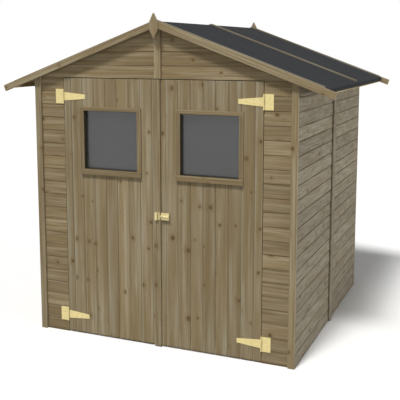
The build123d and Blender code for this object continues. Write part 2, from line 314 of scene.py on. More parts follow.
timberUsual = dict(
    knots=0.4, streaks=60.0, run=1.6, fibre=0.08, amount=0.2, washed=0.0, splash=0.0, rub=0.55, lift=1.06,
    rough=0.86, smooth=0.2, gloss=0.12, relief=0.35, raised=0.0012)
timberLooks = {  # what differs from the usual
    "cladding": dict(
        light=(154, 140, 112), body=(139, 124, 97), dark=(120, 104, 76),
        brown=(129, 109, 78), knot=(84, 64, 40), damp=(112, 101, 74),
        knots=0.35, streaks=70.0, run=2.2, amount=0.35, dirt=0.34, splash=0.8),
    # partly painted light: greyer and paler than the front cladding, carrying the side walls' cooler light in its
    # colour
    "sideCladdingSkyTint": dict(
        light=(156, 147, 129), body=(145, 136, 118), dark=(128, 118, 99),
        brown=(132, 120, 99), knot=(84, 72, 54), damp=(116, 108, 90),
        streaks=80.0, run=7.0, fibre=0.13, amount=0.3, dirt=0.78, splash=0.5),
    "doorBoards": dict(
        light=(155, 145, 122), body=(141, 127, 100), dark=(128, 112, 83),
        brown=(131, 113, 82), knot=(82, 62, 38), damp=(114, 102, 76),
        knots=0.5, streaks=30.0, run=1.0, fibre=0.07, amount=0.35, bleach=0.8, washed=0.2, splash=0.6),
    "trimTimber": dict(
        light=(156, 145, 118), body=(142, 128, 101), dark=(125, 110, 83),
        brown=(128, 110, 80), knot=(88, 66, 42), damp=(116, 104, 78),
        knots=0.45, streaks=90.0, fibre=0.06, amount=0.25),
    "windowTimber": dict(
        light=(142, 128, 101), body=(129, 114, 87), dark=(114, 99, 72),
        brown=(124, 105, 75), knot=(84, 63, 40), damp=(116, 104, 78),
        knots=0.45, streaks=90.0, fibre=0.06, amount=0.25),
    "weatheredTimber": dict(
        light=(134, 127, 112), body=(120, 112, 97), dark=(102, 94, 78),
        brown=(108, 98, 78), knot=(82, 70, 52), damp=(104, 98, 82),
        knots=0.3, streaks=90.0),
    "framing": dict(
        light=(196, 178, 142), body=(176, 156, 118), dark=(152, 130, 92),
        brown=(164, 138, 98), knot=(104, 76, 48), damp=(140, 124, 94),
        streaks=64.0, amount=0.3),
    "roofBoards": dict(
        light=(188, 172, 138), body=(168, 149, 114), dark=(142, 122, 88),
        brown=(156, 131, 94), knot=(100, 74, 48), damp=(134, 118, 88)),
    "floorBoards": dict(
        light=(178, 160, 126), body=(156, 136, 102), dark=(130, 110, 78),
        brown=(146, 121, 88), knot=(92, 68, 44), damp=(124, 108, 80)),
}


def makeTimber(name, own):
    look = {**timberUsual, **own}
    material, place = newFinish(name)
    shade = shadesOf(look)
    grain, tone = markOf(place, "grain", "Vector"), markOf(place, "tone")
    timber = useGroup(timberGroup, dict(look, **shade, grain=grain, tone=tone))
    weatheredAndShaded = useGroup(weatherAndFootShadeGroup, dict(look, **shade, place=place, color=timber.color, soil=shade["knot"]))
    color = weatheredAndShaded.color
    if "dirt" in look:  # painted shade, with some dirt: darkens the rebate under the board above, and along a board's own lip
        patchy = ramp(noise(place, 4.0, 2.0), 0.36, 0.6, 0.4 * look["dirt"], look["dirt"])
        color = blendColor(markOf(place, "rebate") * patchy, color, shade["knot"])
    if "bleach" in look:  # painted highlight along one edge of each board, beside the groove
        edge = ramp(markOf(place, "bleach"), 0.84, 0.97, 0.0, look["bleach"])
        color = blendColor(edge, color, shade["light"])
    worn = rubEdges(place, color, look, look["light"])
    smoother = calc("MAXIMUM", timber.mask, worn.mask)  # knots and rubbed edges
    return dressed(material, {
        "Base Color": worn.color, "Roughness": look["rough"] - smoother * look["smooth"],
        "Specular IOR Level": look["gloss"], "Normal": bump(timber.height, look["relief"], look["raised"])})


finishes = {name: makeTimber(name, look) for name, look in timberLooks.items()}

metalUsual = dict(patchy=0.8, rub=0.7, lift=1.08, relief=0.15, raised=0.0002)
metalLooks = {
    "hingeZinc": dict(
        # dull is the colour of the painted shade beside the hinge barrel
        color=(231, 214, 153), stain=(217, 198, 135), dull=(92, 78, 48), metallic=0.2, rough=0.45, grime=0.7),
    "boltZinc": dict(color=(221, 207, 157), stain=(198, 181, 126), metallic=0.3, rough=0.42),
    "screwZinc": dict(color=(214, 197, 138), stain=(176, 156, 100), metallic=0.5, rough=0.38),
    "nailSteel": dict(color=(120, 112, 96), stain=(96, 84, 66), metallic=0.4, rough=0.55),
}


def makeMetal(name, own):
    look = {**metalUsual, **own}
    material, place = newFinish(name)
    shade = shadesOf(look)
    mask = ramp(noise(place, 70.0, 4.0, 0.65), 0.4, 0.75, 0.0, look["patchy"])
    worn = rubEdges(place, blendColor(mask, shade["color"], shade["stain"]), look, look["color"])
    color = worn.color
    if "grime" in look:  # painted shade down both sides of the barrel
        color = blendColor(markOf(place, "grime") * look["grime"], color, shade["dull"])
    return dressed(material, {
        "Base Color": color, "Roughness": look["rough"] + mask * 0.2 - worn.mask * 0.12,
        "Metallic": look["metallic"],
        "Normal": bump(noise(place, 900.0, 2.0), look["relief"], look["raised"])})


finishes.update({name: makeMetal(name, look) for name, look in metalLooks.items()})

feltLook = dict(color=(53, 54, 56), pale=(62, 63, 65), dark=(43, 44, 46), grit=1400.0)


def makeMineralFelt(name, look):
    material, place = newFinish(name)
    shade = shadesOf(look)
    grit, patch = noise(place, look["grit"], 1.0), noise(place, 5.0, 4.0, 0.6)
    color = blendColor(ramp(grit, 0.35, 0.65), shade["dark"], shade["pale"])
    return dressed(material, {
        "Base Color": blendColor(ramp(patch, 0.35, 0.65, 0.35, 0.75), color, shade["color"]),
        "Roughness": ramp(patch, 0.3, 0.7, 0.9, 0.98), "Specular IOR Level": 0.02,
        "Normal": bump(grit, 0.4, 0.0008)})


finishes["mineralFelt"] = makeMineralFelt("mineralFelt", feltLook)

glassLook = dict(color=(150, 152, 152), dust=0.92, rough=0.25, through=0.95, gloss=1.76)


def makeGlass(name, look):
    # Grey panes dulled by a thin uneven film of dust.
    material, place = newFinish(name)
    haze = noise(place, 9.0, 4.0)
    clear = toLinear(*look["color"])
    dusty = [value * look["dust"] for value in clear[:3]] + [1.0]
    return dressed(material, {
        "Base Color": blendColor(ramp(haze, 0.35, 0.8, 0.0, 0.5), clear, dusty),
        "Roughness": ramp(haze, 0.3, 0.8, look["rough"], look["rough"] + 0.02),
        "Transmission Weight": look["through"], "IOR": look["gloss"]})


finishes["windowPane"] = makeGlass("windowPane", glassLook)

# dark rubber for the strip that paints the window reveals' shade
revealShadeRubberLook = dict(color=(52, 46, 36), worn=(70, 63, 50), rough=0.7)


def makeRevealShadeRubber(name, look):
    material, place = newFinish(name)
    shade = shadesOf(look)
    mask = ramp(noise(place, 40.0, 4.0, 0.6), 0.45, 0.75, 0.0, 0.6)
    return dressed(material, {
        "Base Color": blendColor(mask, shade["color"], shade["worn"]),
        "Roughness": look["rough"] + mask * 0.2, "Specular IOR Level": 0.1})


finishes["revealShadeRubber"] = makeRevealShadeRubber("revealShadeRubber", revealShadeRubberLook)
print("finishes ready:", len(finishes))


def boardsIn(work):
    # The points of each loose board, in a fixed order.
    boards, seen = [], set()
    for start in work.verts:
        if start in seen:
            continue
        seen.add(start)
        board, queue = [], [start]
        while queue:
            vert = queue.pop()
            board.append(vert)
            for edge in vert.link_edges:
                other = edge.other_vert(vert)
                if other not in seen:
                    seen.add(other)
                    queue.append(other)
        boards.append(board)
    return boards


def spreadOf(board, line):
    reach = [vert.co.dot(line) for vert in board]
    return max(reach) - min(reach)


leastFlat = 0.3  # what is left of an axis that doesn't run along the board


def grainAxes(board):
    # The longest way along a board, then across its face, and through it.
    edges = [edge for vert in board for edge in vert.link_edges]
    longest = max(edges, key=lambda edge: (round(edge.calc_length(), 5), -edge.index))
    edgeLine = (longest.verts[0].co - longest.verts[1].co).normalized()
    axes = [Vector((1, 0, 0)), Vector((0, 1, 0)), Vector((0, 0, 1))]
    along = max([edgeLine] + axes, key=lambda line: spreadOf(board, line))
    if max(along, key=abs) < 0:
        along = -along
    flats = [axis - along * axis.dot(along) for axis in axes]
    sides = [flat.normalized() for flat in flats if flat.length > leastFlat]
    deep = min(sides, key=lambda side: spreadOf(board, side))
    return along, deep.cross(along).normalized(), deep


def markGrain(mesh, keyOf=None, seed=1):
    # Gives each loose board its own grain direction, origin and tone.
    work = bmesh.new()
    work.from_mesh(mesh)
    grainLayer = work.verts.layers.float_vector.new("grain")
    toneLayer = work.verts.layers.float.new("tone")
    for board in boardsIn(work):
        axes = grainAxes(board)
        middle = sum((vert.co for vert in board), Vector()) / len(board)
        key = keyOf(middle) if keyOf else tuple(round(value, 3) for value in middle)
        origin = Vector() if keyOf else middle
        tone = random.Random(f"{seed}:{key}").random()
        for vert in board:
            vert[grainLayer] = [(vert.co - origin).dot(axis) for axis in axes]
            vert[toneLayer] = tone
    work.to_mesh(mesh)
    work.free()
    return mesh


def bridge(work, first, second, closed=False):
    # Faces between two rows of points, and round to the start where the rows are closed.
    count = len(first)
    for i in range(count if closed else count - 1):
        j = (i + 1) % count
        work.faces.new((first[i], first[j], second[j], second[i]))


def meshFrom(work, name):
    mesh = bpy.data.meshes.new(name)
    work.to_mesh(mesh)
    work.free()
    return mesh


def joinMeshes(name, meshes):
    work = bmesh.new()
    for mesh in meshes:
        work.from_mesh(mesh)
    return meshFrom(work, name)


def mirrored(mesh):
    # The other hand of a piece, with its faces still outwards.
    mesh.transform(Matrix.Scale(-1, 4, (1, 0, 0)))
    mesh.flip_normals()
    return mesh


def linked(name, data):
    thing = bpy.data.objects.new(name, data)
    bpy.context.scene.collection.objects.link(thing)
    return thing


def addPiece(name, mesh, finish, body, nodes=()):
    # A piece that stands for CAD nodes hides them.
    mesh.name = name
    piece = linked(name, mesh)
    mesh.materials.clear()
    mesh.materials.append(finishes[finish])
    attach(piece, body)
    if nodes:
        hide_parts(*nodes)
    return piece


def evaluated(holder):
    # The plain mesh that an object's modifier makes; the object itself goes.
    depsgraph = bpy.context.evaluated_depsgraph_get()
    mesh = bpy.data.meshes.new_from_object(holder.evaluated_get(depsgraph))
    bpy.data.objects.remove(holder)
    return mesh


easing = dict(weld=0.00002, flat=0.02, sharp=0.6, narrow=1.1, longest=4.0)


def bevelled(mesh, width):
    holder = linked("holder", mesh)
    modifier = holder.modifiers.new("ease", "BEVEL")
    modifier.width = width
    modifier.segments = 2
    modifier.limit_method = "ANGLE"
    modifier.angle_limit = easing["sharp"]
    return evaluated(holder)


def markWear(mesh, width):
    # The narrow faces that a bevel made are the ones that get rubbed.
    wear = mesh.attributes.new("wear", "FLOAT", "FACE")
    for face in mesh.polygons:
        corners = [mesh.vertices[i].co for i in face.vertices]
        shortest = min((corner - corners[i - 1]).length for i, corner in enumerate(corners))
        rubbed = shortest < width * easing["narrow"] and face.area < shortest * easing["longest"]
        wear.data[face.index].value = float(rubbed)


def softened(node, finish, width):
    # A CAD node's own shape, with its edges eased.
    words = node.replace("_door_straps", "_hinge_straps").split("_")
    name = words[0] + "".join(word.title() for word in words[1:])
    work = bmesh.new()
    work.from_mesh(frame["nodes"][node].data)
    bmesh.ops.remove_doubles(work, verts=work.verts, dist=easing["weld"])
    bmesh.ops.dissolve_limit(work, angle_limit=easing["flat"], verts=work.verts, edges=work.edges)
    mesh = bevelled(meshFrom(work, name), width)
    if finish in timberLooks:
        markGrain(mesh)
    markWear(mesh, width)
    for face in mesh.polygons:
        face.use_smooth = False
    return addPiece(name, mesh, finish, bodyOf[node], (node,))


def positionOf(tree):
    return splitVector(source(tree, "GeometryNodeInputPosition"))


def cuboid(size, x, y, z):
    # A box with this many points along each of its sides.
    links = {"Size": size, "Vertices X": x, "Vertices Y": y, "Vertices Z": z}
    return take("GeometryNodeMeshCube", links)


def moved(shape, place, socket="Position"):
    return take("GeometryNodeSetPosition", {"Geometry": shape, socket: place})


def marked(shape, name, value):
    links = {"Geometry": shape, "Name": name, "Value": value}
    return take("GeometryNodeStoreNamedAttribute", links, data_type="FLOAT", domain="POINT")


def copied(shape, points, **turned):
    # A copy at each point, made real.
    links = {"Points": points, "Instance": shape, **turned}
    copies = take("GeometryNodeInstanceOnPoints", links)
    return take("GeometryNodeRealizeInstances", {0: copies})


def inRow(shape, count, start, step):
    links = {"Count": count, "Start Location": start, "Offset": step}
    return copied(shape, take("GeometryNodeMeshLine", links))


def finished(shape, finish, out):
    links = {"Geometry": shape, "Material": finish}
    feed(take("GeometryNodeSetMaterial", links), out["geometry"])


lapRule = dict(points=22, driftScale=3.2, driftOut=-0.3, roofCut=0.3)


def makeLapTree():
    # Rows of lapped boards, each one's foot standing proud of the rebate on the board below.
    look = lapRule
    tree, given, out = newRule(
        "lappedBoards",
        Float="start length bottom top pitch lap thickness lean rebate sunk lip ease apex fall half wander")
    pitch, lip, thickness, lean = given.pitch, given.lip, given.thickness, given.lean
    height = pitch + given.lap
    board = cuboid(joinVector(given.length, thickness, height), look["points"], 2, 5)
    x, y, z = positionOf(tree)
    ring = z / height + 0.5  # five rings of points: foot, lip, shoulder, rebate and head
    foot, sunkRing, headRing = below(ring, 0.1), above(ring, 0.6), above(ring, 0.9)
    halfEase = given.ease * 0.5
    up = above(ring, 0.1) * lip + above(ring, 0.4) * (pitch - given.rebate - (lip + halfEase))
    up = up + sunkRing * halfEase + headRing * (given.rebate + given.lap)
    leaned = thickness * 0.5 + lean * (1.0 - up / height)
    cut = above(y, 0.0) * (sunkRing * given.sunk + foot * given.ease)
    place = joinVector(x + given.length * 0.5 + given.start, y + leaned - cut, up)
    # the rebate and foot rings are marked for the painted lap shade
    leaning = moved(marked(board, "rebate", calc("MAXIMUM", sunkRing, foot)), place)

    first = calc("FLOOR", given.bottom / pitch + 0.001) * pitch
    count = calc("CEIL", (given.top - first) / pitch)
    real = inRow(leaning, count, joinVector(0.0, 0.0, first), joinVector(0.0, 0.0, pitch))

    drift = noise(source(tree, "GeometryNodeInputPosition"), look["driftScale"], 2.0, output="Color")
    sway = vectorCalc("SUBTRACT", drift, (0.5, 0.5, 0.5))
    sway = vectorCalc("MULTIPLY", sway, joinVector(0.0, given.wander * look["driftOut"], given.wander))
    uneven = moved(real, sway, "Offset")

    x, y, z = positionOf(tree)
    deepest = lean + thickness
    y = calc("MINIMUM", y, deepest)
    roof = given.top + (deepest - y) * look["roofCut"]  # a top edge is cut to follow the roof
    z = held(z, given.bottom, roof)
    room = (given.apex - z) / calc("MAXIMUM", given.fall, 0.0001) / given.half
    fitted = moved(uneven, joinVector(x * held(room, 0.0, 1.0), y, z))
    links = {"Geometry": fitted, "Distance": easing["weld"]}
    finished(take("GeometryNodeMergeByDistance", links), given.finish, out)
    return tree


def makeMatchTree():
    # Boards side by side with a V joint, clipped to a width, with one opening cut through.
    tree, given, out = newRule(
        "matchedBoards", Int="count", Vector="holeCentre holeSize",
        Float="low high first pitch bottom top thickness chamfer depth gap paleSide")
    wide = given.pitch - given.gap
    size = joinVector(wide, given.thickness, given.top - given.bottom)
    x, y, z = positionOf(tree)
    edge = above(calc("ABSOLUTE", x), wide * 0.4)
    shaped = edge * x + (1.0 - edge) * (calc("SIGN", x) * (wide * 0.5 - given.chamfer))
    outward = y + given.thickness * 0.5 - edge * above(y, 0.0) * given.depth
    middle = (given.top + given.bottom) * 0.5
    # one side of each board is marked for the painted groove highlight
    board = marked(cuboid(size, 4, 2, 2), "bleach", shaped / wide * given.paleSide + 0.5)
    grooved = moved(board, joinVector(shaped, outward, z + middle))
    start = joinVector(given.first + given.pitch * 0.5, 0.0, 0.0)
    real = inRow(grooved, given.count, start, joinVector(given.pitch, 0.0, 0.0))
    x, y, z = positionOf(tree)
    clipped = moved(real, joinVector(held(x, given.low, given.high), y, z))
    hole = take("GeometryNodeMeshCube", {"Size": given.holeSize})
    hole = take("GeometryNodeTransform", {"Geometry": hole, "Translation": given.holeCentre})
    cutOut = take("GeometryNodeMeshBoolean", {0: clipped, 1: hole}, operation="DIFFERENCE")
    finished(cutOut, given.finish, out)
    return tree


mostSpin = 6.28  # radians that a head may be turned by


def makeFixingTree():
    # A nail or screw head at each point, turned to the point's own facing.
    tree, given, out = newRule("fixings", Object="head", Float="scale", Int="seed")
    head = take("GeometryNodeObjectInfo", {"Object": given.head}, "Geometry")
    links = {"Name": "facing"}
    facing = source(tree, "GeometryNodeInputNamedAttribute", 0, links, data_type="FLOAT_VECTOR")
    links = {2: 0.0, 3: mostSpin, "Seed": given.seed}
    turn = take("FunctionNodeRandomValue", links, 1, data_type="FLOAT")
    spin = take("FunctionNodeEulerToRotation", {0: joinVector(0.0, 0.0, turn)})
    aligned = take("FunctionNodeAlignRotationToVector", {"Vector": facing}, axis="Z")
    both = take("FunctionNodeRotateRotation", {0: aligned, 1: spin}, rotation_space="LOCAL")
    scale = joinVector(given.scale, given.scale, given.scale)
    finished(copied(head, given.geometry, Rotation=both, Scale=scale), given.finish, out)
    return tree


lapTree = makeLapTree()
matchTree = makeMatchTree()
fixingTree = makeFixingTree()


def grown(tree, values, base=None):
    # Runs a rule with its sizes and hands back a plain mesh.
    holder = linked("holder", base or bpy.data.meshes.new("seed"))
    modifier = holder.modifiers.new("rule", "NODES")
    modifier.node_group = tree
    for item in tree.interface.items_tree:
        if item.item_type == "SOCKET" and item.in_out == "INPUT" and item.name in values:
            modifier[item.identifier] = values[item.name]
    return evaluated(holder)


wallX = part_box("right_wall_front")[1].x
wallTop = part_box("side_wall_strips")[1].z
panelLow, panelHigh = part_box("front_wall_right")
fall = (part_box("front_gable")[1].z - wallTop) / wallX  # the roof's drop for each metre outwards
slope = math.atan(fall)
underRidge = wallTop + wallX * fall

lapBoards = dict(
    pitch=0.0876, lap=0.0015, depth=0.0177, wander=0.001, reach=0.0015, ease=0.0012, seam=0.0002)
lapJoints = {
    "cladding": dict(rebate=0.003, lip=0.002, sunk=0.0014, lean=0.0022),
    "sideCladdingSkyTint": dict(rebate=0.0055, lip=0.006, sunk=0.0042, lean=0.0032),
}
gableEnds = dict(apex=underRidge, fall=fall)
squareEnds = dict(apex=99.0, fall=0.0)  # with no fall and the apex high above, the ends are upright


def lapPanel(start, length, top, turn, offset, finish, ends=squareEnds, bottom=0.0):
    joint = lapJoints[finish]
    mesh = grown(lapTree, dict(
        lapBoards, **joint, **ends, start=start, length=length, bottom=bottom, top=top,
        thickness=lapBoards["depth"] - joint["lean"], half=panelHigh.x, finish=finishes[finish]))
    mesh.transform(Matrix.Translation(offset) @ Matrix.Rotation(math.radians(turn), 4, "Z"))
    return mesh


def addBoards(name, panels, finish, nodes, seed=1):
    mesh = markGrain(joinMeshes(name, panels), seed=seed)
    addPiece(name, mesh, finish, "shed", nodes)


def makeFrontCladding():
    near = panelLow.x - lapBoards["reach"]
    wide, high, face = panelHigh.x, panelHigh.z, (0, panelHigh.y, 0)
    panels = [lapPanel(start, wide - near, high, 180, face, "cladding") for start in (-wide, near)]
    panels.append(lapPanel(-wide, wide * 2, underRidge, 180, face, "cladding", gableEnds, high))
    addBoards("frontLapBoards", panels, "cladding", ("front_wall_left", "front_wall_right", "front_gable"))


def makeRearCladding():
    wide, seam, face = panelHigh.x, lapBoards["seam"], (0, -panelHigh.y, 0)
    panels = [
        lapPanel(start, wide - seam, underRidge, 0, face, "cladding", gableEnds) for start in (-wide, seam)]
    addBoards("rearLapBoards", panels, "cladding", ("rear_wall_left", "rear_wall_right"), seed=2)


def makeSideCladding():
    half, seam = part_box("right_wall_rear")[1].y, lapBoards["seam"]
    for side, turn, sign in (("right", -90, 1), ("left", 90, -1)):
        face = (sign * panelHigh.x, 0, 0)
        panels = [
            lapPanel(start, half - seam, wallTop, turn, face, "sideCladdingSkyTint") for start in (-half, seam)]
        nodes = (side + "_wall_front", side + "_wall_rear")
        addBoards(side + "LapBoards", panels, "sideCladdingSkyTint", nodes, seed=3)


makeFrontCladding()
makeRearCladding()
makeSideCladding()
print("cladding laid")

doorBoards = dict(
    pitch=0.085, groove=0.048, chamfer=0.005, depth=0.004, gap=0.0006, reach=0.0035, count=9, paneGap=0.0003,
    cutThrough=0.1)


def makeDoorBoards(side):
    # Boarded as a left-hand door, with the right-hand one as its mirror.
    look = doorBoards
    low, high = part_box(side + "_door_leaf")
    paneLow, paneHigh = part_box(side + "_window_glass")
    near, far = (-high.x, -low.x) if side == "left" else (low.x - look["reach"], high.x)
    paneSize = paneHigh - paneLow
    mesh = grown(matchTree, dict(
        look, low=near, high=far, first=look["groove"] - look["pitch"], bottom=low.z, top=high.z,
        thickness=high.y - low.y, paleSide=1.0 if side == "left" else -1.0, finish=finishes["doorBoards"],
        holeCentre=(abs(paneLow.x + paneHigh.x) / 2, 0.0, (paneLow.z + paneHigh.z) / 2),
        holeSize=(paneSize.x + look["paneGap"] * 2, look["cutThrough"], paneSize.z + look["paneGap"] * 2)))
    mesh.transform(Matrix.Translation((0, high.y, 0)) @ Matrix.Rotation(math.pi, 4, "Z"))
    if side == "right":
        mirrored(mesh)

    def boardKey(middle):
        return side, math.floor((abs(middle.x) - look["groove"]) / look["pitch"])

    markGrain(mesh, boardKey, seed=5)
    addPiece(side + "DoorBoards", mesh, "doorBoards", side + "_door", (side + "_door_leaf",))


for side in ("left", "right"):
    makeDoorBoards(side)

roofBoards = dict(pitch=0.096, chamfer=0.002, gap=0.0008, thickness=0.01, short=0.0005, seam=0.0002)
floorBoards = dict(pitch=0.1101, chamfer=0.0015, gap=0.0008)
noHole = dict(holeCentre=(0.0, 0.0, -9.0), holeSize=(0.1, 0.1, 0.1))  # far below the boards


def plainBoards(look, span, length, thickness, origin, axes, finish):
    # Boards laid along the third axis, side by side along the first.
    mesh = grown(matchTree, dict(
        look, **noHole, low=0.0, high=span, first=0.0, count=math.ceil(span / look["pitch"] - 0.01),
        bottom=0.0, top=length, thickness=thickness, depth=look["chamfer"], finish=finishes[finish]))
    mesh.transform(Matrix.Translation(origin) @ Matrix(axes).transposed().to_4x4())
    return mesh


def makeRoofBoards():
    look = roofBoards
    thickness = look["thickness"]
    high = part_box("roof_deck_right")[1]
    start = thickness * fall
    span = high.x / math.cos(slope) - start - look["short"]
    down = Vector((math.cos(slope), 0, -math.sin(slope)))
    under = Vector((-math.sin(slope), 0, -math.cos(slope)))
    ridge = Vector((0, 0, underRidge + thickness / math.cos(slope))) + down * start
    length = high.y - look["seam"]
    for side in ("right", "left"):
        halves = []
        for y in (-high.y, look["seam"]):
            origin = ridge + Vector((0, y, 0))
            half = plainBoards(look, span, length, thickness, origin, (down, under, (0, 1, 0)), "roofBoards")
            halves.append(half if side == "right" else mirrored(half))
        addBoards(side + "RoofBoards", halves, "roofBoards", ("roof_deck_" + side,), seed=7)


def makeFloorBoards():
    low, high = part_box("floor_deck")
    size = high - low
    axes = ((0, 1, 0), (0, 0, 1), (1, 0, 0))
    mesh = markGrain(plainBoards(floorBoards, size.y, size.x, size.z, low, axes, "floorBoards"), seed=8)
    addPiece("floorBoards", mesh, "floorBoards", "shed", ("floor_deck",))


makeRoofBoards()
makeFloorBoards()
print("doors, roof and floor boarded")

easedPieces = (  # finish, width of the eased edge, CAD nodes
    ("floorBoards", 0.002, "floor_bearers"),
    ("framing", 0.0015, "front_frame rear_frame left_frame right_frame roof_purlins"),
    ("framing", 0.001, "eave_battens"),
    ("trimTimber", 0.002, "corner_strips"),
    ("sideCladdingSkyTint", 0.006, "side_wall_strips"),
    ("trimTimber", 0.002, "front_gable_strip rear_middle_strip"),
    ("weatheredTimber", 0.001, "felt_battens"),
    ("trimTimber", 0.002, "barge_boards"),
    ("trimTimber", 0.0015, "finials"),
    ("framing", 0.0015, "left_door_framing right_door_framing"),
    ("windowTimber", 0.0018, "left_window_frame right_window_frame"),
    ("trimTimber", 0.002, "meeting_strip"),
    ("trimTimber", 0.0015, "bolt_packer"),
    ("hingeZinc", 0.0006, "hinge_plates left_door_straps right_door_straps"),
    ("boltZinc", 0.0006, "bolt_keep"),
    ("boltZinc", 0.0005, "bolt_plate"),
    ("boltZinc", 0.0006, "bolt_rod"),
)
hingeBarrel = dict(radius=0.0055, slack=0.0008, side=0.6)
stripOutward = 0.7  # how squarely a strip's outer edge faces sideways


def markBarrel(mesh):
    # The flanks of the barrel, where a painted shade line goes.
    joint = next(joint for joint in frame["joints"] if joint["name"] == "right_door_hinge")
    pinX, pinY = joint["pos_m"][:2]
    grime = mesh.attributes.new("grime", "FLOAT", "FACE")
    for face in mesh.polygons:
        away = math.hypot(abs(face.center.x) - pinX, face.center.y - pinY) - hingeBarrel["radius"]
        flank = abs(away) < hingeBarrel["slack"] and abs(face.normal.x) > hingeBarrel["side"]
        grime.data[face.index].value = float(flank)


def skyTintStripSides(mesh):
    # The corner strips' outward faces take the side boards' finish, whose colour holds the side walls' painted sky
    # light.
    mesh.materials.append(finishes["sideCladdingSkyTint"])
    for face in mesh.polygons:
        face.material_index = int(face.normal.x * face.center.x > stripOutward * abs(face.center.x))


eased = {
    node: softened(node, finish, width) for finish, width, nodes in easedPieces for node in nodes.split()}
skyTintStripSides(eased["corner_strips"].data)
for node in ("hinge_plates", "left_door_straps", "right_door_straps"):
    markBarrel(eased[node].data)
for node in ("left_window_glass", "right_window_glass"):
    materials = frame["nodes"][node].data.materials
    materials.clear()
    materials.append(finishes["windowPane"])
print("timbers and metalwork eased")

revealShadeStrip = dict(thickness=0.0018, setBack=0.012, lap=0.0003)


def makeRevealShadeStrip(side):
    # A dark strip round the opening, from the pane out to behind the frame's face: painted shade that darkens the
    # reveal.
    thickness, lap = revealShadeStrip["thickness"], revealShadeStrip["lap"]
    low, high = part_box(side + "_window_glass")
    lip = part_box(side + "_window_frame")[0].y + revealShadeStrip["setBack"]
    work = bmesh.new()
    rings, inner = [], thickness - lap
    for inset, y in ((-lap, low.y), (-lap, lip), (inner, lip + thickness), (inner, low.y)):
        x0, x1, z0, z1 = low.x + inset, high.x - inset, low.z + inset, high.z - inset
        corners = ((x0, y, z0), (x1, y, z0), (x1, y, z1), (x0, y, z1))
        rings.append([work.verts.new(corner) for corner in corners])
    for ring, following in zip(rings, rings[1:] + rings[:1]):
        bridge(work, ring, following, closed=True)
    bmesh.ops.recalc_face_normals(work, faces=work.faces)
    addPiece(side + "WindowSeal", meshFrom(work, "seal"), "revealShadeRubber", side + "_door")


for side in ("left", "right"):
    makeRevealShadeStrip(side)
print("panes sealed")

# Each wave has its radians a metre down the slope and along it, and its share of the phase.
feltSheet = dict(
    thickness=0.003, bend=0.007, ripple=0.0006, step=0.02, short=0.007, seam=0.00015, spans=40, turns=5,
    seed=11, phases=9, waves=((2.1, 9, 1), (-5, 23, 2), (17, 0, 1)))
feltLow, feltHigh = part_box("roof_felt_right")


def feltPath():
    # Points and outward directions from the ridge down the slope, round the eave and down to the edge.
    look, low, high = feltSheet, feltLow, feltHigh
    down, out = Vector((math.cos(slope), -math.sin(slope))), Vector((math.sin(slope), math.cos(slope)))
    corner = math.pi / 2 - slope
    reach = high.x / math.cos(slope) - look["bend"] * math.tan(corner / 2)
    path = []
    for i in range(look["spans"] + 1):
        run = look["seam"] + (reach - look["seam"]) * i / look["spans"]
        path.append((Vector((0, high.z)) + down * run, out))
    centre = Vector((high.x - look["bend"], path[-1][0].y - look["bend"] * math.cos(slope)))
    for i in range(1, look["turns"] + 1):
        angle = corner - corner * i / look["turns"]
        normal = Vector((math.cos(angle), math.sin(angle)))
        path.append((centre + normal * look["bend"], normal))
    start, end = path[-1][0].y, low.z + look["short"]
    return path + [(Vector((high.x, y)), Vector((1, 0))) for y in ((start + end) / 2, end)]


def feltWave(x, y, phase):
    return sum(math.sin(y * along + phase * share + x * down) for down, along, share in feltSheet["waves"])


def layFelt(side, phase):
    # A closed sheet: ripples on its face, a flat back, and the two joined all round.
    look, low, high = feltSheet, feltLow, feltHigh
    path = feltPath()
    last = len(path) - 1
    rows = round((high.y - low.y) / look["step"])
    work = bmesh.new()
    outer, inner = [], []
    for j in range(rows + 1):
        y = low.y + (high.y - low.y) * j / rows
        outerRow, innerRow = [], []
        for i, (point, normal) in enumerate(path):
            wave = feltWave(point.x, y, phase) / len(look["waves"])
            lift = look["ripple"] * wave if 0 < i < last else 0.0
            for row, away in ((outerRow, lift), (innerRow, -look["thickness"])):
                at = point + normal * away
                row.append(work.verts.new((at.x, y, at.y)))
        outer.append(outerRow)
        inner.append(innerRow)
    for j in range(rows):
        bridge(work, outer[j], outer[j + 1])
        bridge(work, inner[j], inner[j + 1])
    for i in (0, last):
        bridge(work, [row[i] for row in outer], [row[i] for row in inner])
    for j in (0, rows):
        bridge(work, outer[j], inner[j])
    bmesh.ops.recalc_face_normals(work, faces=work.faces)
    mesh = meshFrom(work, "felt")
    if side == "left":
        mirrored(mesh)
    for face in mesh.polygons:
        face.use_smooth = abs(face.normal.y) < 0.9
    addPiece(side + "FeltSheet", mesh, "mineralFelt", "shed", ("roof_felt_" + side,))


chooser = random.Random(feltSheet["seed"])
for side in ("right", "left"):
    layFelt(side, chooser.random() * feltSheet["phases"])
print("roof felted")

headShape = dict(sides=8, crossSides=12, crown=0.9, cross=0.55, arm=0.3, sunk=0.1, dome=1.15)
fixings = {
    "nail": dict(radius=0.0026, rise=0.0006, finish="nailSteel", scale=1.0),
    "clout": dict(radius=0.0045, rise=0.0007, finish="nailSteel", scale=0.8),
    "hingeScrew": dict(radius=0.0042, rise=0.0013, finish="screwZinc", scale=0.8),
    "boltScrew": dict(radius=0.0042, rise=0.0013, finish="screwZinc", scale=0.75),
}


